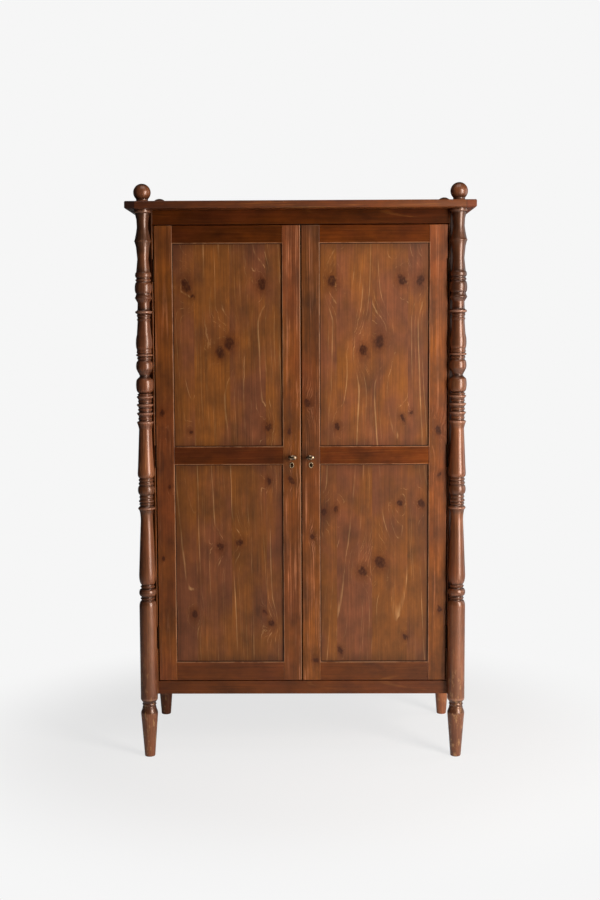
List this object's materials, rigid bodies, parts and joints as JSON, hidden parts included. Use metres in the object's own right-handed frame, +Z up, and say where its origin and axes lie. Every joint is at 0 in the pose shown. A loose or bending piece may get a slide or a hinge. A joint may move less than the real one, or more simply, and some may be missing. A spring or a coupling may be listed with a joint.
{
  "type": "tv armoire",
  "caption": "Tall cabinet with paired panelled doors between full-height turned corner posts, ball finials and tapered feet, and shelves inside for a television.",
  "frame": {"origin": "on the floor under the middle of the cabinet", "axes": "+Z up, -Y out of the doors, +X to the right of someone facing the doors"},
  "size_m": [1.16, 0.61, 1.9491],
  "materials": {
    "frame_pine": "knotty pine, reddish brown stain, satin lacquer",
    "panel_pine": "knotty pine, lighter brown stain, satin lacquer",
    "turned_pine": "turned pine, reddish brown stain, semi-gloss lacquer",
    "top_pine": "pine board, orange brown stain, satin lacquer",
    "inside_pine": "thinly stained pine, matt",
    "knob_brass": "polished, lightly tarnished",
    "hinge_brass": "antiqued, satin",
    "lock_steel": "zinc plated, dull",
    "catch_plastic": "moulded, dark brown"
  },
  "bodies": {
    "carcass": {"top_board": "top_pine", "post_front_left": "turned_pine", "post_front_right": "turned_pine", "post_back_left": "turned_pine", "post_back_right": "turned_pine", "finial_front_left": "turned_pine", "finial_front_right": "turned_pine", "finial_back_left": "turned_pine", "finial_back_right": "turned_pine", "corner_stile_front_left": "frame_pine", "corner_stile_front_right": "frame_pine", "corner_stile_back_left": "frame_pine", "corner_stile_back_right": "frame_pine", "frieze_rail": "frame_pine", "apron_rail": "frame_pine", "side_top_rail_left": "frame_pine", "side_top_rail_right": "frame_pine", "side_bottom_rail_left": "frame_pine", "side_bottom_rail_right": "frame_pine", "side_panel_left": "panel_pine", "side_panel_right": "panel_pine", "back_panel": "inside_pine", "bottom_board": "inside_pine", "tv_shelf": "inside_pine", "upper_shelf": "inside_pine", "left_hinge_top_frame_leaf": "hinge_brass", "left_hinge_middle_frame_leaf": "hinge_brass", "left_hinge_bottom_frame_leaf": "hinge_brass", "right_hinge_top_frame_leaf": "hinge_brass", "right_hinge_middle_frame_leaf": "hinge_brass", "right_hinge_bottom_frame_leaf": "hinge_brass", "magnetic_catch": "catch_plastic"},
    "left_door": {"left_door_hinge_stile": "frame_pine", "left_door_lock_stile": "frame_pine", "left_door_top_rail": "frame_pine", "left_door_mid_rail": "frame_pine", "left_door_bottom_rail": "frame_pine", "left_door_upper_panel": "panel_pine", "left_door_lower_panel": "panel_pine", "left_hinge_top_door_leaf": "hinge_brass", "left_hinge_middle_door_leaf": "hinge_brass", "left_hinge_bottom_door_leaf": "hinge_brass", "left_knob": "knob_brass", "left_key_plate": "knob_brass", "left_catch_plate": "lock_steel"},
    "right_door": {"right_door_hinge_stile": "frame_pine", "right_door_lock_stile": "frame_pine", "right_door_top_rail": "frame_pine", "right_door_mid_rail": "frame_pine", "right_door_bottom_rail": "frame_pine", "right_door_upper_panel": "panel_pine", "right_door_lower_panel": "panel_pine", "right_hinge_top_door_leaf": "hinge_brass", "right_hinge_middle_door_leaf": "hinge_brass", "right_hinge_bottom_door_leaf": "hinge_brass", "right_knob": "knob_brass", "right_key_plate": "knob_brass", "right_catch_plate": "lock_steel", "lock_case": "lock_steel"},
    "bolt": {"lock_bolt": "hinge_brass"}
  },
  "joints": [
    {"name": "left_door_swing", "type": "hinge", "parent": "carcass", "child": "left_door", "pos_m": [-0.494, -0.2438, 1.037], "axis": [0, 0, -1], "range_deg": [0, 110]},
    {"name": "right_door_swing", "type": "hinge", "parent": "carcass", "child": "right_door", "pos_m": [0.494, -0.2438, 1.037], "axis": [0, 0, 1], "range_deg": [0, 110]},
    {"name": "lock_bolt_slide", "type": "slide", "parent": "right_door", "child": "bolt", "axis": [-1, 0, 0], "range_m": [0, 0.009]}
  ]
}
